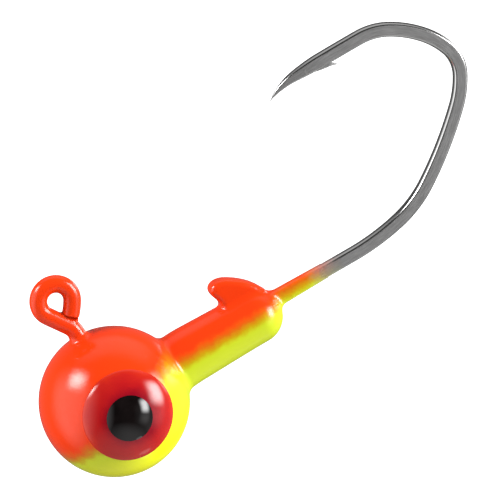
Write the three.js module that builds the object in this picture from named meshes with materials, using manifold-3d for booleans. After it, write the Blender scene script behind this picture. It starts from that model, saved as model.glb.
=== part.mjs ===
// Ball-head fishing jig: a lead ball and collar cast onto a forged jig hook, powder coated in two
// colours, with a two-colour enamel eye on each side.
//
// Millimetres. +X runs along the hook's shank towards its bend, +Z towards the line eyelet and the
// hook's point, and Y runs across. The part's origin is the centre of the line eyelet. Everything
// below is laid out round the ball's centre, and the last group moves it to that origin.

import * as THREE from 'three';
import { mergeVertices } from 'three/addons/utils/BufferGeometryUtils.js';
import Module from 'manifold-3d';

const { clamp, degToRad, lerp, smoothstep } = THREE.MathUtils;

// ---- Driving dimensions -------------------------------------------------------------------------

// Bare lead casting.
const BALL_RADIUS = 4.97;
const COLLAR_RADIUS = 1.88; // where the collar leaves the ball
const TAIL_RADIUS = 1.75; // at the collar's far end
const TAIL_CENTRE_X = 11.05; // centre of the collar's round end
const NECK_FILLET = 0.55; // between ball and collar
const COLLAR_RISE = 0.2; // how far the collar's axis lies above the ball's centre
const RISE_FROM_X = 3; // the axis rises between these two places, inside the ball and its neck
const RISE_TO_X = 6;

// Keeper spur on the collar's back, which grips a soft bait.
const KEEPER_WIDTH = 1.3;
const KEEPER_EDGE = 0.22;

// Powder coat.
const FILM = 0.1; // from the bare metal to the film's outer face
const GAP = 0.02; // clearance between pieces that touch on the real object
const FILM_END_X = 16.6; // the film on the shank stops here
const FILM_AT_END = 0.05;

// Hook wire.
const WIRE_RADIUS = 0.5;
const FORGED_RADIUS = 0.47; // beyond the first part of the bend
const FORGED_OVER = 6; // length over which the wire thins to the forged radius
const FORGED_FLAT = 0.8; // half thickness across the forged flats, as a share of the radius
const FLAT_FROM_X = 8; // the flats grow between these two places, inside the collar
const FLAT_TO_X = 11;
const SHANK_Z = 0.575;
const LEG_X = -0.05;
const LEG_BEND_RADIUS = 1.1; // between the leg and the shank
const POINT_LENGTH = 4.2; // tapered length at the needle point
const POINT_SHARPNESS = 1.6;
const TIP_SHARE = 0.04; // radius at the very tip, as a share of the forged radius

// Line eyelet, a loop of the same wire.
const EYELET_X = -0.26;
const EYELET_Z = 8.14;
const EYELET_RADIUS = 1.155; // to the wire's centre line
const LOOP_START = 62; // heading of the wire where its true loop begins, in degrees
const LOOP_END = 305; // and where it ends and runs down to the leg
const TAIL_LENGTH = 0.98; // the cut end of the wire, which is a little straighter than the loop
const TAIL_TURN = 12;
const LEG_TURN_RADIUS = 1.2; // between the loop's run-out and the leg

// Bend of the hook after the shank: pairs of length and turn, in millimetres and degrees.
const BEND_START_X = 18.77;
const HOOK_BENDS = [
  [3.84, 13.4],
  [3.18, 21.7],
  [5.52, 11.1],
  [2.19, 18.2],
  [2.2, 48.3],
  [1.92, 19.8],
  [2.33, 17.5],
  [2.25, 30],
  [2.9, 1],
  [2.04, 2],
  [2.43, 27],
];

// Barb, placed by the distance from the needle tip back to its root.
const BARB_FROM_TIP = 4.95;
const BARB_THICKNESS = 0.52;
const BARB_TIP_SHARE = 0.3; // thickness left at the spur's tip

// Eyes: drops of enamel on the coated ball, a black one on a red one.
const IRIS_RADIUS = 3.14;
const PUPIL_RADIUS = 1.59;
const IRIS_THICKNESS = 0.15;
const PUPIL_THICKNESS = 0.25;
const DROP_FULLNESS = 4; // the higher, the later a drop's surface falls away to its rim
const EYE_GAP = 0.05; // clearance under each drop

// Mesh fineness.
const WIRE_SIDES = 12;
const LONGEST_STEP = 2;
const SHARPEST_STEP = 10;
const ROUND_SEGMENTS = 30;
const BALL_PIECES = 13;
const NECK_PIECES = 3;
const TAIL_PIECES = 6;
const EYE_SEGMENTS = 30;
const EYE_PIECES = 6;

// ---- Solids ---------------------------------------------------------------------------------------

const wasm = await Module();
wasm.setup();

function toSolid(geometry) {
  const bare = geometry.clone();
  bare.deleteAttribute('normal');
  bare.deleteAttribute('uv');
  const merged = mergeVertices(bare, 1e-5);
  return new wasm.Manifold(
    new wasm.Mesh({
      numProp: 3,
      vertProperties: merged.attributes.position.array,
      triVerts: new Uint32Array(merged.index.array),
    }),
  );
}

function toGeometry(solid) {
  const { vertProperties, triVerts } = solid.getMesh();
  const geometry = new THREE.BufferGeometry();
  geometry.setAttribute('position', new THREE.BufferAttribute(vertProperties, 3));
  geometry.setIndex(new THREE.BufferAttribute(triVerts, 1));
  geometry.computeVertexNormals();
  return geometry;
}

// Points of an arc in a plane, with the angles in degrees.
function arc(centreX, centreY, radius, from, to, pieces) {
  return Array.from({ length: pieces + 1 }, (_, i) => {
    const angle = degToRad(lerp(from, to, i / pieces));
    return new THREE.Vector2(centreX + radius * Math.cos(angle), centreY + radius * Math.sin(angle));
  });
}

// ---- Hook wire --------------------------------------------------------------------------------------

// The loop, its run-out and the leg, as length and turn, ending where the hook's own bend begins.
function wireBends() {
  const slope = degToRad(360 - LOOP_END);
  const legTurn = degToRad(LOOP_END - 270);
  const loopEndX = EYELET_X - EYELET_RADIUS * Math.sin(slope);
  const loopEndZ = EYELET_Z - EYELET_RADIUS * Math.cos(slope);
  const turnShift = LEG_TURN_RADIUS * (1 - Math.cos(legTurn));
  const runOut = (LEG_X - turnShift - loopEndX) / Math.cos(slope);
  const legTop = loopEndZ - runOut * Math.sin(slope) - LEG_TURN_RADIUS * Math.sin(legTurn);
  const loopTurn = LOOP_END - LOOP_START;
  return [
    [TAIL_LENGTH, TAIL_TURN],
    [EYELET_RADIUS * degToRad(loopTurn), loopTurn],
    [runOut, 0],
    [LEG_TURN_RADIUS * legTurn, 270 - LOOP_END],
    [legTop - SHANK_Z - LEG_BEND_RADIUS, 0],
    [(LEG_BEND_RADIUS * Math.PI) / 2, 90],
    [BEND_START_X - LEG_X - LEG_BEND_RADIUS, 0],
    ...HOOK_BENDS,
  ];
}

const BENDS = wireBends();
const WIRE_LENGTH = BENDS.reduce((sum, [length]) => sum + length, 0);

// Where the wire is, and which way it heads, after a bend of one length and turn.
function along(place, length, turn) {
  const heading = place.heading + turn;
  const chord = turn === 0 ? length : (2 * length * Math.sin(turn / 2)) / turn;
  const middle = place.heading + turn / 2;
  return {
    x: place.x + chord * Math.cos(middle),
    z: place.z + chord * Math.sin(middle),
    heading,
  };
}

// The cut end of the wire: the loop's start, taken back along the straighter tail.
function wireStart() {
  const heading = degToRad(LOOP_START);
  const loopStart = {
    x: EYELET_X + EYELET_RADIUS * Math.sin(heading),
    z: EYELET_Z - EYELET_RADIUS * Math.cos(heading),
    heading: heading + Math.PI,
  };
  const cutEnd = along(loopStart, TAIL_LENGTH, -degToRad(TAIL_TURN));
  return { x: cutEnd.x, z: cutEnd.z, heading: cutEnd.heading - Math.PI };
}

const START = wireStart();

function wireAt(distance) {
  let place = START;
  let left = distance;
  for (const [length, turn] of BENDS) {
    if (left <= length) return along(place, left, degToRad((turn * left) / length));
    place = along(place, length, degToRad(turn));
    left -= length;
  }
  return along(place, left, 0);
}

// Distances along the wire at which its section is laid, closer together where it bends.
function stations(from, to) {
  const list = [from];
  let end = 0;
  for (const [length, turn] of BENDS) {
    const start = end;
    end += length;
    const pieces = Math.ceil(Math.max(length / LONGEST_STEP, Math.abs(turn) / SHARPEST_STEP));
    for (let i = 1; i <= pieces; i += 1) {
      const distance = start + (length * i) / pieces;
      if (distance > from + GAP && distance < to - GAP) list.push(distance);
    }
  }
  list.push(to);
  return list;
}

// Distance along the wire to a place on the shank.
function shankDistance(x) {
  const bendStart = BENDS.slice(0, -HOOK_BENDS.length).reduce((sum, [length]) => sum + length, 0);
  return bendStart - (BEND_START_X - x);
}

// Half width of the bare wire, from the round eyelet to the needle point.
function wireRadius(distance) {
  const bendStart = shankDistance(BEND_START_X);
  const forged = smoothstep(distance, bendStart, bendStart + FORGED_OVER);
  const body = lerp(WIRE_RADIUS, FORGED_RADIUS, forged);
  const share = clamp((WIRE_LENGTH - distance) / POINT_LENGTH, 0, 1);
  return body * Math.max(TIP_SHARE, 1 - (1 - share) ** POINT_SHARPNESS);
}

// The wire is round in the eyelet and inside the lead, and has two forged flats from there on.
function wireFlat(distance) {
  return lerp(1, FORGED_FLAT, smoothstep(distance, shankDistance(FLAT_FROM_X), shankDistance(FLAT_TO_X)));
}

// A length of wire, grown outwards by growth(distance). A closed cylinder's rings become sections.
function wireSolid(from, to, growth) {
  const places = stations(from, to);
  const rings = places.length - 1;
  const geometry = new THREE.CylinderGeometry(1, 1, 1, WIRE_SIDES, rings);
  const position = geometry.attributes.position;
  const perSide = WIRE_SIDES / 2;
  const roundLimit = 90 - 90 / perSide;
  for (let i = 0; i < position.count; i += 1) {
    const across = position.getX(i);
    const depth = position.getZ(i);
    const distance = places[Math.round((0.5 + position.getY(i)) * rings)];
    const centre = wireAt(distance);
    const radius = wireRadius(distance) + growth(distance);
    const corner = Math.min(Math.asin(wireFlat(distance)), degToRad(roundLimit));
    // Each half of the ring is squeezed between the corners of the two flats.
    const turn = Math.atan2(depth, across) - degToRad(90 / perSide);
    const side = Math.cos(turn) > 0 ? 1 : -1;
    const spread = Math.asin(clamp(Math.sin(turn), -1, 1)) * (corner / degToRad(roundLimit));
    const share = Math.hypot(across, depth);
    const inPlane = share * side * radius * Math.cos(spread);
    position.setXYZ(
      i,
      centre.x - inPlane * Math.sin(centre.heading),
      share * radius * Math.sin(spread),
      centre.z + inPlane * Math.cos(centre.heading),
    );
  }
  return toSolid(geometry);
}

// The spur raised on the inner side of the point, with its tip towards the bend.
function barbSolid() {
  const root = wireAt(WIRE_LENGTH - BARB_FROM_TIP);
  const outline = new THREE.Shape();
  outline.moveTo(-1.5, 0.1);
  outline.lineTo(-1.5, 0.44);
  outline.quadraticCurveTo(-0.9, 0.63, -0.23, 0.65);
  outline.quadraticCurveTo(0.2, 0.72, 0.53, 1.0);
  outline.quadraticCurveTo(0.22, 0.78, 0.19, 0.47);
  outline.lineTo(0.45, 0.1);
  const geometry = new THREE.ExtrudeGeometry(outline, {
    depth: BARB_THICKNESS,
    bevelEnabled: false,
    curveSegments: 4,
  });
  geometry.translate(0, 0, -BARB_THICKNESS / 2);
  const position = geometry.attributes.position;
  for (let i = 0; i < position.count; i += 1) {
    const inward = position.getY(i);
    const thin = lerp(1, BARB_TIP_SHARE, smoothstep(inward, 0.5, 1));
    const inPlane = root.z - inward;
    position.setXYZ(i, root.x + position.getX(i), position.getZ(i) * thin, inPlane);
  }
  return toSolid(geometry);
}

function hookSolid() {
  return wireSolid(0, WIRE_LENGTH, () => 0).add(barbSolid());
}

// ---- Casting and coat -----------------------------------------------------------------------------

// Ball, neck fillet, collar and round end, turned about the X axis.
function turnedBody(growth) {
  const filletRadius = COLLAR_RADIUS + NECK_FILLET;
  const filletX = Math.sqrt((BALL_RADIUS + NECK_FILLET) ** 2 - filletRadius ** 2);
  const neck = (Math.atan2(filletX, filletRadius) * 180) / Math.PI;
  const profile = [
    ...arc(0, 0, BALL_RADIUS + growth, -90, neck, BALL_PIECES),
    ...arc(filletRadius, filletX, NECK_FILLET - growth, neck + 180, 180, NECK_PIECES).slice(1),
    ...arc(0, TAIL_CENTRE_X, TAIL_RADIUS + growth, 0, 90, TAIL_PIECES),
  ];
  profile[0].x = 0;
  profile[profile.length - 1].x = 0;
  const geometry = new THREE.LatheGeometry(profile, ROUND_SEGMENTS);
  geometry.rotateZ(-Math.PI / 2);
  const position = geometry.attributes.position;
  for (let i = 0; i < position.count; i += 1) {
    const rise = COLLAR_RISE * smoothstep(position.getX(i), RISE_FROM_X, RISE_TO_X);
    position.setZ(i, position.getZ(i) + rise);
  }
  return toSolid(geometry);
}

// The keeper spur: a blunt nub that leans towards the ball and slopes down to the collar's end.
function keeperSolid(growth) {
  const outline = new THREE.Shape();
  outline.moveTo(9.5, 1);
  outline.lineTo(9.42, 2.4);
  outline.bezierCurveTo(9.4, 2.75, 9.08, 3.05, 9.2, 3.4);
  outline.bezierCurveTo(9.34, 3.75, 9.9, 3.8, 10.4, 3.52);
  outline.bezierCurveTo(11.15, 3.1, 11.9, 2.5, 12.3, 1.6);
  outline.lineTo(12.1, 1);
  const depth = KEEPER_WIDTH - 2 * KEEPER_EDGE;
  const geometry = new THREE.ExtrudeGeometry(outline, {
    depth,
    bevelThickness: KEEPER_EDGE + growth,
    bevelSize: KEEPER_EDGE + growth,
    bevelOffset: -KEEPER_EDGE,
    bevelSegments: 2,
    curveSegments: 5,
  });
  geometry.translate(0, 0, -depth / 2);
  geometry.rotateX(Math.PI / 2);
  return toSolid(geometry);
}

// The casting's outer shape, grown outwards by one distance all over.
function castingSolid(growth) {
  return turnedBody(growth).add(keeperSolid(growth));
}

function leadHeadSolid() {
  return castingSolid(0).subtract(wireSolid(0, shankDistance(FILM_END_X), () => GAP));
}

// One continuous film over the casting, the eyelet and the first part of the shank, where it thins.
function paintCoatSolid() {
  const end = shankDistance(FILM_END_X);
  const collarEnd = shankDistance(TAIL_CENTRE_X + TAIL_RADIUS);
  const film = (distance) => lerp(FILM, FILM_AT_END, clamp((distance - collarEnd) / (end - collarEnd), 0, 1));
  const outside = castingSolid(FILM).add(wireSolid(-FILM, end, film));
  const inside = castingSolid(GAP).add(wireSolid(-GAP, shankDistance(BEND_START_X), () => GAP));
  return outside.subtract(inside);
}

// ---- Eyes -------------------------------------------------------------------------------------------

// Height of a drop at one angle from the eye's axis.
function dropHeight(angle, edge, thickness) {
  return thickness * Math.sqrt(Math.max(0, 1 - (angle / edge) ** DROP_FULLNESS));
}

// Distances from the ball's centre at one angle from the eye's axis, and each drop's rim as an angle.
const irisUnder = () => BALL_RADIUS + FILM + EYE_GAP;
const IRIS_EDGE = Math.asin(IRIS_RADIUS / irisUnder());
const irisOver = (angle) => irisUnder() + dropHeight(angle, IRIS_EDGE, IRIS_THICKNESS);
const pupilUnder = (angle) => irisOver(angle) + EYE_GAP;
const PUPIL_EDGE = Math.asin(PUPIL_RADIUS / pupilUnder(0));
const pupilOver = (angle) => pupilUnder(angle) + dropHeight(angle, PUPIL_EDGE, PUPIL_THICKNESS);

// A drop turned about the Y axis, between two surfaces. side is 1 for the right eye and -1 for the left.
function dropGeometry(under, over, edge, side) {
  const place = (surface, share) => {
    const angle = edge * share;
    return new THREE.Vector2(surface(angle) * Math.sin(angle), surface(angle) * Math.cos(angle));
  };
  const shares = Array.from({ length: EYE_PIECES + 1 }, (_, i) => Math.sin((i / EYE_PIECES) * (Math.PI / 2)));
  const profile = [
    ...shares.map((share) => place(under, share)),
    ...shares
      .slice(0, -1)
      .reverse()
      .map((share) => place(over, share)),
  ];
  const geometry = new THREE.LatheGeometry(profile, EYE_SEGMENTS);
  if (side < 0) geometry.rotateX(Math.PI);
  return geometry;
}

// ---- Assembly -----------------------------------------------------------------------------------------

const MATERIALS = {
  steel: new THREE.MeshStandardMaterial({ color: 0x6f6d6c, roughness: 0.28, metalness: 1 }),
  lead: new THREE.MeshStandardMaterial({ color: 0x7d8084, roughness: 0.6, metalness: 0.8 }),
  coat: new THREE.MeshStandardMaterial({ color: 0xfe5630, roughness: 0.25, metalness: 0 }),
  iris: new THREE.MeshStandardMaterial({ color: 0xc82422, roughness: 0.15, metalness: 0 }),
  pupil: new THREE.MeshStandardMaterial({ color: 0x0e0506, roughness: 0.12, metalness: 0 }),
};

function part(name, geometry, material) {
  const mesh = new THREE.Mesh(geometry, material);
  mesh.name = name;
  return mesh;
}

const jig = new THREE.Group();
jig.position.set(-EYELET_X, 0, -EYELET_Z);
jig.add(part('hook', toGeometry(hookSolid()), MATERIALS.steel));
jig.add(part('lead_head', toGeometry(leadHeadSolid()), MATERIALS.lead));
jig.add(part('paint_coat', toGeometry(paintCoatSolid()), MATERIALS.coat));
for (const [name, side] of [
  ['left', -1],
  ['right', 1],
]) {
  jig.add(part(`${name}_iris`, dropGeometry(irisUnder, irisOver, IRIS_EDGE, side), MATERIALS.iris));
  jig.add(part(`${name}_pupil`, dropGeometry(pupilUnder, pupilOver, PUPIL_EDGE, side), MATERIALS.pupil));
}

const root = new THREE.Group();
root.add(jig);

export default root;
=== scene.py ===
"""Looks of a ball-head fishing jig: a forged hook, a powder-coated lead head and enamel eyes.

Shapes are laid out in millimetres round the ball's centre, as in the CAD, with +X along the hook's
shank and +Z towards the line eyelet. Each finished piece is then moved to the row frame, in metres.
"""

import math

import bmesh
import bpy
import numpy as np
from mathutils import Matrix, Vector


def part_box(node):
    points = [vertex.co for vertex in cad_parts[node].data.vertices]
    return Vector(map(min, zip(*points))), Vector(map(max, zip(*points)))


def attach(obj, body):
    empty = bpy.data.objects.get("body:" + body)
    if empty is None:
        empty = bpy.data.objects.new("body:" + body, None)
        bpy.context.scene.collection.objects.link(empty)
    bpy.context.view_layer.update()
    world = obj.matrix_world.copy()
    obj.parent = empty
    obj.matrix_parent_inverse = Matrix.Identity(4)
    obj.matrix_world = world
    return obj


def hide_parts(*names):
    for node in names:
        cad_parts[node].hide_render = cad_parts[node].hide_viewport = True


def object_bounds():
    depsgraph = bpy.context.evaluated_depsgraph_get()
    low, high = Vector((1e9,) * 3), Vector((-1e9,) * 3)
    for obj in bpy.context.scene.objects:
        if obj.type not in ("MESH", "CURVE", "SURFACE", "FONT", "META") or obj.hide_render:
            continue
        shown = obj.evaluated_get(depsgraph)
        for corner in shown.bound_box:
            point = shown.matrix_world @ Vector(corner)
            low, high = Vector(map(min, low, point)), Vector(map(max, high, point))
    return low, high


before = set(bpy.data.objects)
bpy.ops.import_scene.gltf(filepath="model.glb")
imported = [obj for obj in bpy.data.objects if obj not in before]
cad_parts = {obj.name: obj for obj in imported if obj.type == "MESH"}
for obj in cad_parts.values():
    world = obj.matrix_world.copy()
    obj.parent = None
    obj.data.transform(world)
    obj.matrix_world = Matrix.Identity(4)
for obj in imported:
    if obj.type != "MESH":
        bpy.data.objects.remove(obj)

CAD_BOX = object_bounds()
MM = 0.001

# The eyes are centred on the ball, so their box gives the ball's centre.
IRIS_LOW, IRIS_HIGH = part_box("left_iris")
BALL_CENTRE = Vector(((IRIS_LOW.x + IRIS_HIGH.x) / 2, 0, (IRIS_LOW.z + IRIS_HIGH.z) / 2))
TO_ROW_FRAME = Matrix.Translation(BALL_CENTRE) @ Matrix.Scale(MM, 4)

# ---- Dimensions, in millimetres -----------------------------------------------------------------

# Coated casting.
FILM = 0.1
GAP = 0.02
BALL_RADIUS = 4.97
COLLAR_RADIUS = 1.88
TAIL_RADIUS = 1.75
TAIL_CENTRE_X = 11.05
COLLAR_RISE = 0.2
RISE_FROM_X = 3
RISE_TO_X = 6
NECK_BLEND = 0.4
KEEPER_BLEND = 0.35
WIRE_BLEND = 0.45
KEEPER_HALF_WIDTH = 0.65
KEEPER_ROUNDING = 0.3
BARE_KEEPER_INSET = 0.05

# Hook wire.
WIRE_RADIUS = 0.5
FORGED_RADIUS = 0.505
FORGED_OVER = 6
FORGED_FLAT = 0.8
FLAT_FROM_X = 8
FLAT_TO_X = 11
CORNER_SOFTNESS = 0.15
CORNER_BULGE = 1.16
FILM_CORNER = 0.02
FILM_END_ROUNDING = 0.12
SHANK_Z = 0.575
LEG_X = -0.05
LEG_BEND_RADIUS = 1.1
POINT_LENGTH = 4.2
POINT_SHARPNESS = 1.6
TIP_SHARE = 0.04
FILM_END_X = 16.6
FILM_AT_END = 0.03

# Line eyelet.
EYELET_X = -0.26
EYELET_Z = 8.14
EYELET_RADIUS = 1.155
LOOP_START = 62
LOOP_END = 305
TAIL_LENGTH = 0.98
TAIL_TURN = 12
LEG_TURN_RADIUS = 1.2

# Bend of the hook after the shank: pairs of length and turn, in millimetres and degrees.
BEND_START_X = 18.77
HOOK_BENDS = [
    (3.84, 13.4),
    (3.18, 21.7),
    (5.52, 11.1),
    (2.19, 18.2),
    (2.2, 48.3),
    (1.92, 19.8),
    (2.33, 17.5),
    (2.25, 30),
    (2.9, 1),
    (2.04, 2),
    (2.43, 27),
]

# Barb, placed by the distance from the needle tip back to its root.
BARB_FROM_TIP = 4.95
BARB_HALF_THICKNESS = 0.365
BARB_TIP_SHARE = 0.2

# Eyes.
IRIS_RADIUS = 3.09
PUPIL_RADIUS = 1.56
IRIS_THICKNESS = 0.2
PUPIL_THICKNESS = 0.3
IRIS_FULLNESS = 4
EYE_GAP = 0.01
# How far the pupil sits off the iris's middle, towards the nose and towards the eyelet.
PUPIL_SHIFT = (0.08, 0.05)

# Meshing: length of one step along the wire, size of the coat's even mesh, and the angle from
# which an edge is shaded sharp.
HOOK_STEP = 0.22
ROUGH_STEP = 0.2
BARE_STEP = 0.3
FOOT_STEP = 0.12
VOXEL = 0.1
SHARP_ANGLE = 40

# Camera, from the row frame.
CAMERA_RIGHT = Vector((0.8612, -0.235, -0.4507)).normalized()
CAMERA_UP = Vector((0.4972, 0.205, 0.843))
CAMERA_LENS = 600
SENSOR_WIDTH = 36
VIEW_WIDTH = 33.4
VIEW_CENTRE = (9.065, 10.113)
EXPOSURE = 0.75

# Studio. Soft boxes are placed by degrees to the camera's right and degrees up, and then sized by
# half width, half height and soft edge, as shares of their distance, and by radiance.
SOFT_BOXES = [
    (-65, 28, 0.2, 0.14, 0.16, 17.0),
    (71, 16, 0.21, 0.26, 0.16, 15.0),
    (71, -14, 0.26, 0.22, 0.2, 0.7),
    (125, 25, 0.45, 0.13, 0.13, 2.4),
]
LEFT_WALL = 1.3
RIGHT_WALL = 0.3
BACK_WALL = 0.1
TABLE = 0.85
ROOF = 0.55
DARKEST = 0.05
FLOOR_DROP = 400
FLOOR_RADIUS = 45
FLOOR_SIDES = 64

# ---- Meshes -------------------------------------------------------------------------------------


def new_object(name, vertices, faces):
    mesh = bpy.data.meshes.new(name)
    mesh.from_pydata([tuple(v) for v in vertices], [], faces)
    mesh.update()
    piece = bpy.data.objects.new(name, mesh)
    bpy.context.scene.collection.objects.link(piece)
    return piece


def apply_modifier(piece, kind, **settings):
    modifier = piece.modifiers.new(kind, kind)
    for key, value in settings.items():
        setattr(modifier, key, value)
    graph = bpy.context.evaluated_depsgraph_get()
    mesh = bpy.data.meshes.new_from_object(piece.evaluated_get(graph))
    piece.modifiers.clear()
    old = piece.data
    piece.data = mesh
    bpy.data.meshes.remove(old)


def boolean(piece, other, operation):
    apply_modifier(piece, "BOOLEAN", operation=operation, object=other, solver="EXACT")
    bpy.data.objects.remove(other)


def grid_faces(rings, sides):
    """Faces of a closed tube of rings, with a cap at each end."""
    faces = []
    for ring in range(rings - 1):
        for side in range(sides):
            after = (side + 1) % sides
            first, second = ring * sides, (ring + 1) * sides
            faces.append((first + side, first + after, second + after, second + side))
    faces.append(tuple(reversed(range(sides))))
    faces.append(tuple(range((rings - 1) * sides, rings * sides)))
    return faces


def face_outwards(piece):
    bm = bmesh.new()
    bm.from_mesh(piece.data)
    bmesh.ops.recalc_face_normals(bm, faces=bm.faces)
    bm.to_mesh(piece.data)
    bm.free()


def smoothstep(value, start, end):
    share = np.clip((value - start) / (end - start), 0, 1)
    return share * share * (3 - 2 * share)


def smooth_min(a, b, softness):
    """The lower of two values, with the corner between them rounded over softness."""
    overlap = np.maximum(softness - np.abs(a - b), 0) / softness
    return np.minimum(a, b) - overlap * overlap * softness / 4


def smooth_max(a, b, softness):
    return -smooth_min(-a, -b, softness)


# ---- Hook wire ----------------------------------------------------------------------------------


def wire_bends():
    """The loop, its run-out, the leg and the hook's bend, as pairs of length and turn in radians."""
    slope = math.radians(360 - LOOP_END)
    leg_turn = math.radians(LOOP_END - 270)
    loop_turn = math.radians(LOOP_END - LOOP_START)
    loop_end_x = EYELET_X - EYELET_RADIUS * math.sin(slope)
    loop_end_z = EYELET_Z - EYELET_RADIUS * math.cos(slope)
    turn_shift = LEG_TURN_RADIUS * (1 - math.cos(leg_turn))
    run_out = (LEG_X - turn_shift - loop_end_x) / math.cos(slope)
    leg_top = loop_end_z - run_out * math.sin(slope) - LEG_TURN_RADIUS * math.sin(leg_turn)
    return [
        (TAIL_LENGTH, math.radians(TAIL_TURN)),
        (EYELET_RADIUS * loop_turn, loop_turn),
        (run_out, 0),
        (LEG_TURN_RADIUS * leg_turn, -leg_turn),
        (leg_top - SHANK_Z - LEG_BEND_RADIUS, 0),
        (LEG_BEND_RADIUS * math.pi / 2, math.pi / 2),
        (BEND_START_X - LEG_X - LEG_BEND_RADIUS, 0),
        *((length, math.radians(turn)) for length, turn in HOOK_BENDS),
    ]


BENDS = wire_bends()
WIRE_LENGTH = sum(length for length, _ in BENDS)
BEND_START = sum(length for length, _ in BENDS[: -len(HOOK_BENDS)])


def along(place, length, turn):
    """Where the wire is, and which way it heads, after a bend of one length and turn."""
    x, z, heading = place
    chord = length if turn == 0 else 2 * length * math.sin(turn / 2) / turn
    middle = heading + turn / 2
    return x + chord * math.cos(middle), z + chord * math.sin(middle), heading + turn


def wire_start():
    """The cut end of the wire: the loop's start, taken back along the straighter tail."""
    heading = math.radians(LOOP_START)
    loop_start = (
        EYELET_X + EYELET_RADIUS * math.sin(heading),
        EYELET_Z - EYELET_RADIUS * math.cos(heading),
        heading + math.pi,
    )
    x, z, back = along(loop_start, TAIL_LENGTH, -math.radians(TAIL_TURN))
    return x, z, back - math.pi


def wire_at(distance):
    place = wire_start()
    for length, turn in BENDS:
        if distance <= length:
            return along(place, distance, turn * distance / length)
        place = along(place, length, turn)
        distance -= length
    return along(place, distance, 0)


def shank_distance(x):
    return BEND_START - (BEND_START_X - x)


def wire_radius(distance):
    body = WIRE_RADIUS + (FORGED_RADIUS - WIRE_RADIUS) * smoothstep(
        distance, BEND_START, BEND_START + FORGED_OVER
    )
    share = np.clip((WIRE_LENGTH - distance) / POINT_LENGTH, 0, 1)
    return body * np.maximum(TIP_SHARE, 1 - (1 - share) ** POINT_SHARPNESS)


def wire_flat(distance):
    """Half thickness across the forged flats, as a share of the radius."""
    forged = smoothstep(distance, shank_distance(FLAT_FROM_X), shank_distance(FLAT_TO_X))
    return 1 + (FORGED_FLAT - 1) * forged


def film_on_wire(distance):
    collar_end = shank_distance(TAIL_CENTRE_X + TAIL_RADIUS)
    share = np.clip((distance - collar_end) / (shank_distance(FILM_END_X) - collar_end), 0, 1)
    return FILM + (FILM_AT_END - FILM) * share


# Angles round a quarter of the wire's section, closest together where the forged corner is.
QUARTER = [0, 13, 24, 31, 35, 39, 43, 47, 51, 55, 63, 75]
HALF = QUARTER + [90] + [180 - angle for angle in reversed(QUARTER)]
ROUND = HALF + [180 + angle for angle in HALF[1:-1]]


def bulge(flat):
    """How far the wire's round sides are pushed out by the forging, towards its flats."""
    return 1 + (CORNER_BULGE - 1) * (1 - flat) / (1 - FORGED_FLAT)


def section(flat):
    """Unit section of the wire, as columns of in-plane and across: a round between two flats."""
    angles = np.radians(ROUND)
    softness = CORNER_SOFTNESS * max(1 - flat, 1e-6) / (1 - FORGED_FLAT)
    rise = np.sin(angles) * bulge(flat)
    across = smooth_min(np.abs(rise), flat, softness) * np.sign(rise)
    return np.column_stack([np.cos(angles), across])


def wire_mesh(name, start, end, step, growth):
    """A length of wire, grown outwards by growth(distance)."""
    distances = np.linspace(start, end, math.ceil((end - start) / step) + 1)
    rings = []
    for distance in distances:
        x, z, heading = wire_at(distance)
        shape = section(wire_flat(distance)) * (wire_radius(distance) + growth(distance))
        rings.append(
            np.column_stack([
                x - shape[:, 0] * math.sin(heading),
                shape[:, 1],
                z + shape[:, 0] * math.cos(heading),
            ])
        )
    piece = new_object(name, np.vstack(rings), grid_faces(len(rings), len(ROUND)))
    write_grain(piece, distances)
    return piece


def write_grain(piece, distances):
    """Stores each vertex's place along and round the wire as a UV map, which the grain follows."""
    layer = piece.data.uv_layers.new(name="grain")
    for polygon in piece.data.polygons:
        turns = [ROUND[v % len(ROUND)] / 360 for v in polygon.vertices]
        last = max(turns)
        for loop, vertex, turn in zip(polygon.loop_indices, polygon.vertices, turns):
            lap = 1 if last - turn > 0.5 else 0
            layer.data[loop].uv = (distances[vertex // len(ROUND)], turn + lap)


def quadratic(start, control, end, share):
    share = share[:, None]
    return (1 - share) ** 2 * start + 2 * share * (1 - share) * control + share**2 * end


def barb_mesh():
    """The spur cut from the point's inner side, lofted between its outer edge and its cut edge."""
    x, z, _ = wire_at(WIRE_LENGTH - BARB_FROM_TIP)
    share = np.linspace(0, 1, 14)
    swell = quadratic(np.array((-1.9, 0.3)), np.array((-0.95, 0.66)), np.array((-0.23, 0.66)), share)
    spur = quadratic(np.array((-0.23, 0.66)), np.array((0.22, 0.72)), np.array((0.58, 1.02)), share)
    core = np.column_stack([-1.9 + 2.08 * share, -0.1 + 0.5 * share**3])
    cut = quadratic(np.array((0.18, 0.4)), np.array((0.16, 0.74)), np.array((0.58, 0.985)), share)
    outer = np.vstack([swell, spur[1:]])
    inner = np.vstack([core, cut[1:]])
    middle = (outer + inner) / 2
    reach = (outer - inner) / 2
    thin = 1 + (BARB_TIP_SHARE - 1) * smoothstep(middle[:, 1], 0.5, 0.95)
    shape = section(FORGED_FLAT)
    rings = []
    for centre, arm, share_left in zip(middle, reach, thin):
        in_plane = centre + shape[:, :1] * arm
        across = shape[:, 1] / FORGED_FLAT * BARB_HALF_THICKNESS * share_left
        rings.append(np.column_stack([x + in_plane[:, 0], across, z - in_plane[:, 1]]))
    piece = new_object("barb", np.vstack(rings), grid_faces(len(rings), len(ROUND)))
    root = WIRE_LENGTH - BARB_FROM_TIP
    write_grain(piece, root + middle[:, 0])
    return piece


def make_hook():
    hook = wire_mesh("forged_hook", 0, WIRE_LENGTH, HOOK_STEP, lambda distance: 0)
    barb = barb_mesh()
    face_outwards(hook)
    face_outwards(barb)
    boolean(hook, barb, "UNION")
    return hook


# ---- Powder coat --------------------------------------------------------------------------------

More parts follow.
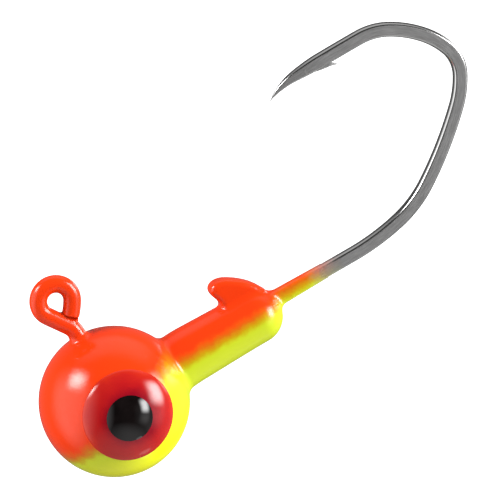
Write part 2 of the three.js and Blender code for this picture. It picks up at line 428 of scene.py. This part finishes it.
# Keeper's outline in X and Z: straight and curved stretches from the front foot to the back foot.
KEEPER_OUTLINE = [
    [(9.5, 0.6), (9.46, 1.2), (9.44, 1.8), (9.42, 2.4)],
    [(9.42, 2.4), (9.4, 2.75), (9.08, 3.05), (9.2, 3.4)],
    [(9.2, 3.4), (9.34, 3.75), (9.9, 3.8), (10.4, 3.52)],
    [(10.4, 3.52), (11.15, 3.1), (11.9, 2.5), (12.3, 1.6)],
    [(12.3, 1.6), (12.25, 1.2), (12.15, 0.9), (12.1, 0.6)],
]


def keeper_points():
    share = np.linspace(0, 1, 9)[:-1, None]
    points = []
    for a, b, c, d in np.array(KEEPER_OUTLINE):
        keep = 1 - share
        points.append(keep**3 * a + 3 * keep**2 * share * b + 3 * keep * share**2 * c + share**3 * d)
    return np.vstack(points + [KEEPER_OUTLINE[-1][-1]])


def outline_distance(points, outline):
    """Signed distance in a plane from points to a closed outline, negative inside it."""
    nearest = np.full(len(points), np.inf)
    inside = np.zeros(len(points), bool)
    for start, end in zip(outline, np.roll(outline, -1, axis=0)):
        edge = end - start
        offset = points - start
        share = np.clip(offset @ edge / (edge @ edge), 0, 1)
        nearest = np.minimum(nearest, np.linalg.norm(offset - share[:, None] * edge, axis=1))
        crosses = (start[1] > points[:, 1]) != (end[1] > points[:, 1])
        rise = np.where(edge[1] == 0, 1, edge[1])
        inside ^= crosses & (offset[:, 0] < edge[0] * offset[:, 1] / rise)
    return np.where(inside, -nearest, nearest)


def ball_distance(points, growth):
    return np.linalg.norm(points, axis=1) - BALL_RADIUS - growth


def collar_distance(points, growth):
    x = points[:, 0]
    rise = COLLAR_RISE * smoothstep(x, RISE_FROM_X, RISE_TO_X)
    off_axis = np.hypot(points[:, 1], points[:, 2] - rise)
    radius = COLLAR_RADIUS + (TAIL_RADIUS - COLLAR_RADIUS) * smoothstep(x, 4, TAIL_CENTRE_X)
    past_end = np.maximum(x - TAIL_CENTRE_X, 0)
    return np.maximum(np.hypot(off_axis, past_end) - radius - growth, -x)


def keeper_distance(points, growth):
    rounding = KEEPER_ROUNDING + growth
    flat = outline_distance(points[:, [0, 2]], keeper_points()) + KEEPER_ROUNDING
    side = np.abs(points[:, 1]) - KEEPER_HALF_WIDTH + KEEPER_ROUNDING
    outside = np.hypot(np.maximum(flat, 0), np.maximum(side, 0))
    return np.minimum(np.maximum(flat, side), 0) + outside - rounding


COATED_WIRE = np.arange(0, shank_distance(BEND_START_X) + 1, FOOT_STEP)
WIRE_PLACES = np.array([wire_at(distance) for distance in COATED_WIRE])


def wire_distance(points, film):
    """Distance to the coated wire. film(distance) is the film's thickness at a place along it."""
    offsets = points[:, None, [0, 2]] - WIRE_PLACES[None, :, :2]
    distance = COATED_WIRE[np.argmin(np.einsum("ijk,ijk->ij", offsets, offsets), axis=1)]
    for _ in range(3):
        x, z, heading = (np.interp(distance, COATED_WIRE, column) for column in WIRE_PLACES.T)
        ahead_x = points[:, 0] - x
        ahead_z = points[:, 2] - z
        forward = ahead_x * np.cos(heading) + ahead_z * np.sin(heading)
        in_plane = ahead_z * np.cos(heading) - ahead_x * np.sin(heading)
        foot = distance + forward
        distance = np.clip(foot, 0, COATED_WIRE[-1])
    across = points[:, 1]
    radius = wire_radius(distance) + film(distance)
    flat = wire_flat(distance)
    round_gap = np.hypot(in_plane, across / bulge(flat)) - radius
    flat_gap = np.abs(across) - flat * radius
    corner = CORNER_SOFTNESS * radius * (1 - flat) / (1 - FORGED_FLAT)
    side_gap = smooth_max(round_gap, flat_gap, np.maximum(FILM_CORNER, corner))
    return smooth_max(side_gap, -film(distance) - foot, FILM_END_ROUNDING)


def coat_distance(points):
    """Distance to the coat's outer face. The paint pools a little wherever two shapes meet."""
    head = smooth_min(ball_distance(points, FILM), collar_distance(points, FILM), NECK_BLEND)
    head = smooth_min(head, keeper_distance(points, FILM), KEEPER_BLEND)
    return smooth_min(head, wire_distance(points, film_on_wire), WIRE_BLEND)


def surface_slope(points, distance_to):
    """How fast distance_to grows along each axis, which is the way that the surface faces."""
    small = 1e-3
    return np.column_stack([
        (distance_to(points + small * axis) - distance_to(points - small * axis)) / (2 * small)
        for axis in np.eye(3)
    ])


def settle(piece, distance_to, rounds):
    """Moves every vertex onto the surface where distance_to is zero."""
    points = np.array([v.co for v in piece.data.vertices])
    for _ in range(rounds):
        value = distance_to(points)
        slope = surface_slope(points, distance_to)
        steepness = np.maximum(np.einsum("ij,ij->i", slope, slope), 0.25)
        points -= slope * (value / steepness)[:, None]
    piece.data.vertices.foreach_set("co", points.astype(np.float32).ravel())
    piece.data.update()


def turned(name, profile, sides):
    """A solid turned about X from a profile of (x, radius) that starts and ends on the axis."""
    rings = []
    for x, radius in profile:
        angles = np.arange(sides) * 2 * math.pi / sides
        rise = COLLAR_RISE * smoothstep(x, RISE_FROM_X, RISE_TO_X)
        ring = [np.full(sides, x), radius * np.cos(angles), rise + radius * np.sin(angles)]
        rings.append(np.column_stack(ring))
    return new_object(name, np.vstack(rings), grid_faces(len(rings), sides))


def head_mesh(name, growth, pieces, sides):
    """Ball, collar and round end, without the neck's fillet."""
    ball = BALL_RADIUS + growth
    collar = COLLAR_RADIUS + growth
    tail = TAIL_RADIUS + growth
    neck = math.asin(collar / ball)
    profile = [
        (-ball * math.cos(angle), ball * math.sin(angle))
        for angle in np.linspace(0.01, math.pi - neck, pieces)
    ]
    profile += [
        (TAIL_CENTRE_X + tail * math.sin(angle), tail * math.cos(angle))
        for angle in np.linspace(0, math.pi / 2 - 0.01, pieces // 3)
    ]
    piece = turned(name, profile, sides)
    face_outwards(piece)
    return piece


def keeper_mesh(name, growth):
    """A plain plate of the keeper's outline, with square edges."""
    outline = keeper_points()
    middle = outline.mean(axis=0)
    outline = middle + (outline - middle) * (1 + growth / 2)
    count = len(outline)
    vertices = [
        (x, side * (KEEPER_HALF_WIDTH + growth), z) for side in (-1, 1) for x, z in outline
    ]
    piece = new_object(name, vertices, grid_faces(2, count))
    face_outwards(piece)
    return piece


def outer_face():
    """The coat's outer face as one closed, even mesh, which runs past the film's end on the shank."""
    head = head_mesh("powder_coat_film", FILM, 60, 120)
    rough = [
        keeper_mesh("rough_keeper", 0),
        wire_mesh("rough_wire", 0, BEND_START, ROUGH_STEP, lambda distance: FILM),
    ]
    for part in rough:
        face_outwards(part)
        boolean(head, part, "UNION")
    apply_modifier(head, "REMESH", mode="VOXEL", voxel_size=VOXEL)
    for _ in range(3):
        apply_modifier(head, "SMOOTH", factor=0.5, iterations=4)
        settle(head, coat_distance, rounds=2)
    return head


def cut_shank(piece):
    """Ends the coat where the film stops, with a flat cut."""
    bm = bmesh.new()
    bm.from_mesh(piece.data)
    everything = list(bm.verts) + list(bm.edges) + list(bm.faces)
    result = bmesh.ops.bisect_plane(
        bm, geom=everything, plane_co=(FILM_END_X, 0, 0), plane_no=(1, 0, 0), clear_outer=True
    )
    rim = [item for item in result["geom_cut"] if isinstance(item, bmesh.types.BMEdge)]
    bmesh.ops.holes_fill(bm, edges=rim, sides=0)
    bmesh.ops.recalc_face_normals(bm, faces=bm.faces)
    bm.to_mesh(piece.data)
    bm.free()


def make_coat():
    """The film: its outer face, less the bare casting and wire that it lies on."""
    coat = outer_face()
    cut_shank(coat)
    metal = head_mesh("bare_head", GAP, 36, 60)
    keeper = keeper_mesh("bare_keeper", -BARE_KEEPER_INSET)
    wire = wire_mesh("bare_wire", -GAP, BEND_START, BARE_STEP, lambda distance: GAP)
    face_outwards(wire)
    for part in (keeper, wire):
        boolean(metal, part, "UNION")
    boolean(coat, metal, "DIFFERENCE")
    return coat


# ---- Eyes ---------------------------------------------------------------------------------------


IRIS_BACK = BALL_RADIUS + FILM + EYE_GAP
IRIS_EDGE = math.asin(IRIS_RADIUS / IRIS_BACK)


def iris_under(angle):
    """The same at every angle, because the coat that the iris lies on is round."""
    return IRIS_BACK


def iris_over(angle):
    """Flat-topped, and steep at its rim."""
    share = np.maximum(0, 1 - (angle / IRIS_EDGE) ** IRIS_FULLNESS)
    return IRIS_BACK + IRIS_THICKNESS * np.sqrt(share)


def pupil_under(angle):
    return iris_over(angle) + EYE_GAP


PUPIL_EDGE = math.asin(PUPIL_RADIUS / pupil_under(0))


def pupil_over(angle):
    """Evenly domed, so it meets the iris at a low angle."""
    return pupil_under(angle) + PUPIL_THICKNESS * np.maximum(0, 1 - (angle / PUPIL_EDGE) ** 2)


def drop_mesh(name, under, over, edge, side, shift=(0, 0), pieces=28, segments=96):
    """A drop of enamel on the ball, turned about the Y axis. side is -1 for the left eye.

    shift slides it round the ball, towards the nose and towards the eyelet.
    """
    angles = edge * np.sin(np.linspace(0, math.pi / 2, pieces + 1))
    lower = [(angle, under(angle)) for angle in angles[1:]]
    upper = [(angle, over(angle)) for angle in angles[1:-1]]
    profile = lower + upper[::-1]
    turns = np.arange(segments) * 2 * math.pi / segments
    vertices = []
    for angle, reach in profile:
        radius = reach * math.sin(angle)
        depth = side * reach * math.cos(angle)
        vertices += [(radius * math.cos(turn), depth, radius * math.sin(turn)) for turn in turns]
    vertices += [(0, side * under(0), 0), (0, side * over(0), 0)]
    faces = grid_faces(len(profile), segments)[:-2]
    last = (len(profile) - 1) * segments
    for place in range(segments):
        after = (place + 1) % segments
        faces.append((place, after, len(vertices) - 2))
        faces.append((last + place, last + after, len(vertices) - 1))
    piece = new_object(name, vertices, faces)
    towards_nose = Matrix.Rotation(side * shift[0] / over(0), 4, "Z")
    towards_eyelet = Matrix.Rotation(side * shift[1] / over(0), 4, "X")
    piece.data.transform(towards_nose @ towards_eyelet)
    face_outwards(piece)
    return piece


# ---- Shader nodes -------------------------------------------------------------------------------


def opaque(colour):
    return (*colour, 1)


class Graph:
    """Short ways to add nodes to one node tree. Each returns the socket that carries its result."""

    def __init__(self, owner):
        owner.use_nodes = True
        self.tree = owner.node_tree
        self.tree.nodes.clear()

    def add(self, kind, **settings):
        node = self.tree.nodes.new(kind)
        for key, value in settings.items():
            setattr(node, key, value)
        return node

    def feed(self, socket, value):
        if isinstance(value, bpy.types.NodeSocket):
            self.tree.links.new(value, socket)
        else:
            socket.default_value = value

    def fed(self, kind, inputs, **settings):
        """A new node, with its inputs fed by name or number."""
        node = self.add(kind, **settings)
        for name, value in inputs.items():
            self.feed(node.inputs[name], value)
        return node

    def math(self, operation, *values):
        node = self.add("ShaderNodeMath", operation=operation)
        for socket, value in zip(node.inputs, values):
            self.feed(socket, value)
        return node.outputs[0]

    def product(self, *values):
        result = values[0]
        for value in values[1:]:
            result = self.math("MULTIPLY", result, value)
        return result

    def highest(self, *values):
        result = values[0]
        for value in values[1:]:
            result = self.math("MAXIMUM", result, value)
        return result

    def vector(self, operation, *values):
        node = self.add("ShaderNodeVectorMath", operation=operation)
        for socket, value in zip(node.inputs, values):
            self.feed(socket, value)
        return node.outputs["Value" if operation == "DOT_PRODUCT" else "Vector"]

    def scale(self, vector, factor):
        inputs = {0: vector, "Scale": factor}
        return self.fed("ShaderNodeVectorMath", inputs, operation="SCALE").outputs["Vector"]

    def step(self, value, start, end, low=0.0, high=1.0):
        """low before start and high after end, with a smooth change between them."""
        inputs = {"Value": value, "From Min": start, "From Max": end, "To Min": low, "To Max": high}
        node = self.fed("ShaderNodeMapRange", inputs, interpolation_type="SMOOTHSTEP")
        return node.outputs["Result"]

    def noise(self, vector, scale, detail, roughness=0.5):
        inputs = {"Vector": vector, "Scale": scale, "Detail": detail, "Roughness": roughness}
        return self.fed("ShaderNodeTexNoise", inputs).outputs["Fac"]

    # A Mix node has sockets of one name for each kind of data, so they are found by number.
    def blend(self, factor, first, second):
        """A number between two numbers."""
        return self.fed("ShaderNodeMix", {0: factor, 2: first, 3: second}, data_type="FLOAT").outputs[0]

    def mix(self, factor, first, second):
        """A colour between two colours."""
        return self.fed("ShaderNodeMix", {0: factor, 6: first, 7: second}, data_type="RGBA").outputs[2]

    def ramp(self, factor, stops):
        node = self.add("ShaderNodeValToRGB")
        elements = node.color_ramp.elements
        while len(elements) < len(stops):
            elements.new(0.5)
        for element, (place, colour) in zip(elements, stops):
            element.position = place
            element.color = opaque(colour)
        self.feed(node.inputs["Fac"], factor)
        return node.outputs["Color"]

    def split(self, vector):
        node = self.add("ShaderNodeSeparateXYZ")
        self.feed(node.inputs[0], vector)
        return node.outputs

    def bump(self, height, strength, distance):
        inputs = {"Height": height, "Strength": strength, "Distance": distance}
        return self.fed("ShaderNodeBump", inputs).outputs["Normal"]

    def place(self):
        """Position in millimetres from the ball's centre."""
        position = self.add("ShaderNodeTexCoord").outputs["Object"]
        return self.scale(self.vector("SUBTRACT", position, tuple(BALL_CENTRE)), 1 / MM)

    def principled(self, **values):
        inputs = {name.replace("_", " "): value for name, value in values.items()}
        shader = self.fed("ShaderNodeBsdfPrincipled", inputs)
        output = self.add("ShaderNodeOutputMaterial")
        self.tree.links.new(shader.outputs[0], output.inputs["Surface"])


# ---- Materials ----------------------------------------------------------------------------------

ORANGE = (0.78, 0.042, 0.004)
DEEP_ORANGE = (0.62, 0.135, 0.005)
MUSTARD = (0.54, 0.36, 0.005)
CHARTREUSE = (0.55, 0.64, 0.02)
# Painted light: a much lighter chartreuse for the belly, standing in for light from below.
PAINTED_LIGHT_BELLY_CHARTREUSE = (0.97, 0.99, 0.004)
STEEL_DARK = (0.4, 0.398, 0.396)
STEEL_LIGHT = (0.52, 0.518, 0.516)
STEEL_BURNISHED = (0.42, 0.418, 0.415)
COAT_IOR = 1.38
FLAT_ROUGHNESS = 0.4
EDGE_ROUGHNESS = 0.13
PAINT_FADES_FROM_X = 15.0
PAINT_ENDS_X = 18.2

# Scales of the noise in each material, for positions in millimetres.
BLOTCH_SCALE = 1.1
SPECK_SCALE = 7.0
FLECK_SCALE = 4.0
GLOSS_SCALE = 0.7
PEEL_SCALE = 2.6
CAST_SCALE = 1.5
PIT_SCALE = 12
RED_CLOUD_SCALE = 0.9
BLACK_CLOUD_SCALE = 1.2
# How the steel's grain is squeezed: little along the wire and much across it.
SHANK_GRAIN = (0.9, 14, 14)
WIRE_GRAIN = (0.9, 45, 1)
# Depth of the bump in each finish, in metres.
COAT_RELIEF = 0.02 * MM
CAST_RELIEF = 0.03 * MM

# The back and belly of the ball are chartreuse, below a plane that leans towards its nose.
BALL_SPLIT = Vector((-0.305, 0, 0.952))
COLLAR_SPLIT_Z = 0.62
SHANK_SPLIT_Z = 0.8


def paint_colour(graph, place):
    """Orange over chartreuse, blown on with a soft and slightly blotchy edge between them. The chartreuse
    turns much lighter towards the belly, which is painted fill light.
    """
    x, _, z = graph.split(place)[:3]
    blotch = graph.math("SUBTRACT", graph.noise(place, BLOTCH_SCALE, 3), 0.5)
    speck = graph.math("SUBTRACT", graph.noise(place, SPECK_SCALE, 2), 0.5)
    waver = graph.math("ADD", blotch, graph.math("MULTIPLY", speck, 0.25))
    on_ball = graph.vector("DOT_PRODUCT", place, tuple(BALL_SPLIT))
    ball = graph.step(graph.math("ADD", on_ball, waver), -1.0, 0.9)
    split_z = graph.step(x, 12.4, 13.4, COLLAR_SPLIT_Z, SHANK_SPLIT_Z)
    on_collar = graph.math("SUBTRACT", z, split_z)
    collar = graph.step(graph.math("ADD", on_collar, graph.math("MULTIPLY", waver, 0.6)), -0.9, 0.6)
    past_neck = graph.step(x, 3.9, 4.9)
    share = graph.blend(past_neck, ball, collar)
    # Painted light: towards the bottom the chartreuse is mixed to a much lighter one, as painted fill
    # light on the belly.
    low = graph.step(z, -4.5, -1.0, 1.0, 0.0)
    chartreuse = graph.mix(low, opaque(CHARTREUSE), opaque(PAINTED_LIGHT_BELLY_CHARTREUSE))
    blown = graph.ramp(share, [(0.3, MUSTARD), (0.7, DEEP_ORANGE), (1.0, ORANGE)])
    return graph.mix(graph.step(share, 0.0, 0.36), chartreuse, blown)


def paint_left(graph, place):
    """How much paint is left on the shank: all of it near the collar, then flecks, then none."""
    x = graph.split(place)[0]
    flecks = graph.math("SUBTRACT", graph.noise(place, FLECK_SCALE, 4), 0.5)
    ragged = graph.math("ADD", x, graph.math("MULTIPLY", flecks, 0.9))
    return graph.step(ragged, PAINT_FADES_FROM_X, PAINT_ENDS_X, 1.0, 0.0)


def paint_over_steel(material, grain_place, on_flat):
    """Paint and the bare steel past its end. The grain runs along the wire, finest on the flats."""
    graph = Graph(material)
    place = graph.place()
    paint = paint_left(graph, place)
    grain = graph.noise(grain_place(graph, place), 1.0, 4, 0.6)
    flat = on_flat(graph)
    forged = graph.ramp(grain, [(0.3, STEEL_DARK), (0.7, STEEL_LIGHT)])
    steel = graph.mix(flat, opaque(STEEL_BURNISHED), forged)
    ground = graph.blend(flat, EDGE_ROUGHNESS, FLAT_ROUGHNESS)
    worn = graph.math("ADD", ground, graph.step(grain, 0.25, 0.75, -0.03, 0.05))
    glossy = graph.step(graph.noise(place, GLOSS_SCALE, 3), 0.3, 0.7, 0.13, 0.19)
    peel = graph.math("MULTIPLY", graph.noise(place, PEEL_SCALE, 2), paint)
    scratch = graph.math("MULTIPLY", grain, graph.step(paint, 0.0, 1.0, 0.12, 0.0))
    graph.principled(
        Base_Color=graph.mix(paint, steel, paint_colour(graph, place)),
        Metallic=graph.math("SUBTRACT", 1.0, paint),
        Roughness=graph.blend(paint, worn, glossy),
        IOR=COAT_IOR,
        Normal=graph.bump(graph.math("ADD", peel, scratch), 0.35, COAT_RELIEF),
    )


def along_shank(graph, place):
    return graph.vector("MULTIPLY", place, SHANK_GRAIN)


def place_on_wire(graph):
    return graph.add("ShaderNodeUVMap", uv_map="grain").outputs[0]


def along_wire(graph, place):
    return graph.vector("MULTIPLY", place_on_wire(graph), WIRE_GRAIN)


def shank_flat(graph):
    """1 where the surface faces sideways, as the shank's flats do."""
    normal = graph.add("ShaderNodeNewGeometry").outputs["Normal"]
    sideways = graph.math("ABSOLUTE", graph.split(normal)[1])
    return graph.step(sideways, 0.9, 0.97)


def wire_flat_mask(graph):
    """1 on the two forged flats, whose middles are a quarter turn from the wire's plane."""
    turn = graph.split(place_on_wire(graph))[1]
    half_turn = graph.math("FRACT", graph.math("MULTIPLY", turn, 2.0))
    off_flat = graph.math("ABSOLUTE", graph.math("SUBTRACT", half_turn, 0.5))
    return graph.step(off_flat, 0.2, 0.25, 1.0, 0.0)


def powder_coat():
    material = bpy.data.materials.new("powder_coat")
    paint_over_steel(material, along_shank, shank_flat)
    return material


def hook_steel():
    material = bpy.data.materials.new("hook_steel")
    paint_over_steel(material, along_wire, wire_flat_mask)
    return material


def cast_lead():
    material = bpy.data.materials.new("cast_lead")
    graph = Graph(material)
    place = graph.place()
    cloud = graph.noise(place, CAST_SCALE, 4)
    graph.principled(
        Base_Color=graph.ramp(cloud, [(0.3, (0.17, 0.18, 0.19)), (0.7, (0.27, 0.28, 0.3))]),
        Metallic=0.9,
        Roughness=graph.step(cloud, 0.3, 0.7, 0.45, 0.65),
        Normal=graph.bump(graph.noise(place, PIT_SCALE, 3), 0.4, CAST_RELIEF),
    )
    return material


def off_eye_axis(graph, place):
    x, _, z = graph.split(place)[:3]
    squared = graph.math("ADD", graph.math("MULTIPLY", x, x), graph.math("MULTIPLY", z, z))
    return graph.math("SQRT", squared)


def red_enamel():
    """Thick and crimson round the pupil, and thin enough at the rim for the orange to show."""
    material = bpy.data.materials.new("red_enamel")
    graph = Graph(material)
    place = graph.place()
    cloud = graph.math("SUBTRACT", graph.noise(place, RED_CLOUD_SCALE, 2), 0.5)
    reach = graph.math("ADD", off_eye_axis(graph, place), graph.math("MULTIPLY", cloud, 0.8))
    share = graph.math("DIVIDE", reach, IRIS_RADIUS)
    colour = graph.ramp(share, [
        (0.5, (0.25, 0.002, 0.01)),
        (0.7, (0.4, 0.007, 0.009)),
        (0.88, (0.45, 0.012, 0.009)),
        (1.0, (0.52, 0.022, 0.007)),
    ])
    glossy = graph.step(cloud, -0.2, 0.2, 0.09, 0.13)
    graph.principled(Base_Color=colour, Roughness=glossy, IOR=COAT_IOR)
    return material


def black_enamel():
    material = bpy.data.materials.new("black_enamel")
    graph = Graph(material)
    place = graph.place()
    cloud = graph.noise(place, BLACK_CLOUD_SCALE, 2)
    colour = graph.ramp(cloud, [(0.3, (0.002, 0.001, 0.001)), (0.7, (0.005, 0.003, 0.003))])
    glossy = graph.step(cloud, 0.3, 0.7, 0.05, 0.08)
    graph.principled(Base_Color=colour, Roughness=glossy, IOR=COAT_IOR)
    return material


# ---- Studio -------------------------------------------------------------------------------------


def make_camera():
    right = CAMERA_RIGHT
    back = right.cross(CAMERA_UP).normalized()
    up = back.cross(right)
    axes = (right, up, back)
    data = bpy.data.cameras.new("camera")
    data.sensor_width = SENSOR_WIDTH
    data.lens = CAMERA_LENS
    camera = bpy.data.objects.new("camera", data)
    bpy.context.scene.collection.objects.link(camera)
    distance = CAMERA_LENS / SENSOR_WIDTH * VIEW_WIDTH * MM
    centre = BALL_CENTRE + right * VIEW_CENTRE[0] * MM + up * VIEW_CENTRE[1] * MM
    turn = Matrix(axes).transposed().to_4x4()
    camera.matrix_world = Matrix.Translation(centre + back * distance) @ turn
    data.clip_start = distance / 100
    data.clip_end = distance * 10
    bpy.context.scene.camera = camera
    return axes


def aim(across, above):
    """Direction in camera axes, from degrees to the camera's right and degrees up."""
    across, above = math.radians(across), math.radians(above)
    level = math.cos(above)
    return Vector((level * math.sin(across), math.sin(above), level * math.cos(across)))


def soft_box(graph, direction, to_row, across, above, half_width, half_height, edge, radiance):
    """Light from a soft-edged rectangle of the surroundings. to_row turns camera axes to the row's."""
    facing = aim(across, above)
    to_side = Vector((facing.z, 0, -facing.x)).normalized()
    to_top = facing.cross(to_side)
    ahead, sideways, upwards = (
        graph.vector("DOT_PRODUCT", direction, tuple(to_row @ axis)) for axis in (facing, to_side, to_top)
    )
    front = graph.step(ahead, 0.0, 0.2)
    ahead = graph.math("MAXIMUM", ahead, 0.05)
    wide = graph.math("ABSOLUTE", graph.math("DIVIDE", sideways, ahead))
    high = graph.math("ABSOLUTE", graph.math("DIVIDE", upwards, ahead))
    within_width = graph.step(wide, half_width - edge, half_width + edge, 1.0, 0.0)
    within_height = graph.step(high, half_height - edge, half_height + edge, 1.0, 0.0)
    return graph.product(within_width, within_height, front, radiance)


def pale_room(graph, x, y, z):
    """Radiance of the walls, table and roof. x is to the camera's right, y up and z towards it."""
    below_roof = graph.step(y, 0.2, 0.7, 1.0, 0.0)
    in_front = graph.step(z, -0.45, 0.1, 0.08, 1.0)
    left_wall = graph.product(graph.step(x, -0.95, -0.35, LEFT_WALL, 0.0), below_roof, in_front)
    right_wall = graph.product(graph.step(x, 0.35, 0.95, 0.0, RIGHT_WALL), below_roof)
    back_wall = graph.step(z, -0.7, -0.1, BACK_WALL, 0.0)
    table = graph.product(
        graph.step(y, -0.95, -0.4, TABLE, 0.0),
        graph.step(z, -0.5, 0.3, 0.45, 0.7),
        graph.step(x, -0.8, 0.2, 0.4, 1.0),
    )
    roof = graph.product(
        graph.step(y, 0.6, 0.95, 0.0, ROOF),
        graph.step(z, 0.0, 0.45, 1.0, 0.0),
        graph.step(z, -0.7, -0.3),
    )
    return graph.highest(left_wall, right_wall, back_wall, table, roof, DARKEST)


def make_world(axes):
    """White to the eye. To the object: a pale room, dark in front and above, and soft boxes."""
    world = bpy.data.worlds.new("studio")
    bpy.context.scene.world = world
    graph = Graph(world)
    direction = graph.add("ShaderNodeTexCoord").outputs["Generated"]
    to_row = Matrix(axes).transposed()
    total = pale_room(graph, *(graph.vector("DOT_PRODUCT", direction, tuple(axis)) for axis in axes))
    for box in SOFT_BOXES:
        total = graph.math("ADD", total, soft_box(graph, direction, to_row, *box))
    to_camera = graph.add("ShaderNodeLightPath").outputs["Is Camera Ray"]
    light = {"Color": opaque((1, 1, 1)), "Strength": graph.blend(to_camera, total, 1.0)}
    background = graph.fed("ShaderNodeBackground", light)
    output = graph.add("ShaderNodeOutputWorld")
    graph.tree.links.new(background.outputs[0], output.inputs["Surface"])


def make_floor():
    """A plain pale table top that gives off light, well below the jig."""
    low, high = CAD_BOX
    middle_x = (low[0] + high[0]) / 2
    floor_z = low[2] - FLOOR_DROP * MM
    radius = FLOOR_RADIUS * MM
    turns = np.arange(FLOOR_SIDES) * 2 * math.pi / FLOOR_SIDES
    rim = [(middle_x + radius * math.cos(turn), radius * math.sin(turn), floor_z) for turn in turns]
    floor = new_object("floor", rim, [tuple(range(FLOOR_SIDES))])
    material = bpy.data.materials.new("floor_white")
    Graph(material).principled(
        Base_Color=opaque((0.1, 0.1, 0.1)),
        Roughness=0.9,
        Emission_Color=opaque((1, 1, 1)),
        Emission_Strength=1.0,
    )
    floor.data.materials.append(material)


# ---- Assembly -----------------------------------------------------------------------------------


def fair_normals(coat):
    """Shades the coat by its true surface, so the small facets don't show in its highlights."""
    to_layout = TO_ROW_FRAME.inverted()
    points = np.array([to_layout @ v.co for v in coat.data.vertices])
    slope = surface_slope(points, coat_distance)
    outer = np.abs(coat_distance(points)) < GAP
    meshed = np.array([v.normal for v in coat.data.vertices])
    normals = np.where(outer[:, None], slope, meshed)
    normals /= np.maximum(np.linalg.norm(normals, axis=1), 1e-6)[:, None]
    coat.data.normals_split_custom_set_from_vertices(normals.tolist())


def finish_piece(piece, material, slot, *nodes):
    """Moves a piece to the row frame, paints it, hangs it on the root body and hides the CAD nodes that
    it stands for.
    """
    piece.data.transform(TO_ROW_FRAME)
    piece.data.shade_smooth()
    piece.data.set_sharp_from_angle(angle=math.radians(SHARP_ANGLE))
    piece.data.materials.clear()
    piece.data.materials.append(material)
    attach(piece, "root")
    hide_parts(*nodes)


def build():
    camera_axes = make_camera()
    finish_piece(make_hook(), hook_steel(), "hook_steel", "hook")
    coat = make_coat()
    finish_piece(coat, powder_coat(), "powder_coat", "paint_coat")
    fair_normals(coat)
    red = red_enamel()
    black = black_enamel()
    for name, side in (("left", -1), ("right", 1)):
        iris = drop_mesh(f"{name}_iris_drop", iris_under, iris_over, IRIS_EDGE, side)
        finish_piece(iris, red, "eye_red", f"{name}_iris")
        pupil = drop_mesh(
            f"{name}_pupil_drop", pupil_under, pupil_over, PUPIL_EDGE, side, PUPIL_SHIFT
        )
        finish_piece(pupil, black, "eye_black", f"{name}_pupil")
    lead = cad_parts["lead_head"]
    lead.data.materials.clear()
    lead.data.materials.append(cast_lead())
    make_world(camera_axes)
    make_floor()
    bpy.context.scene.view_settings.view_transform = "Standard"
    bpy.context.scene.view_settings.exposure = EXPOSURE


build()
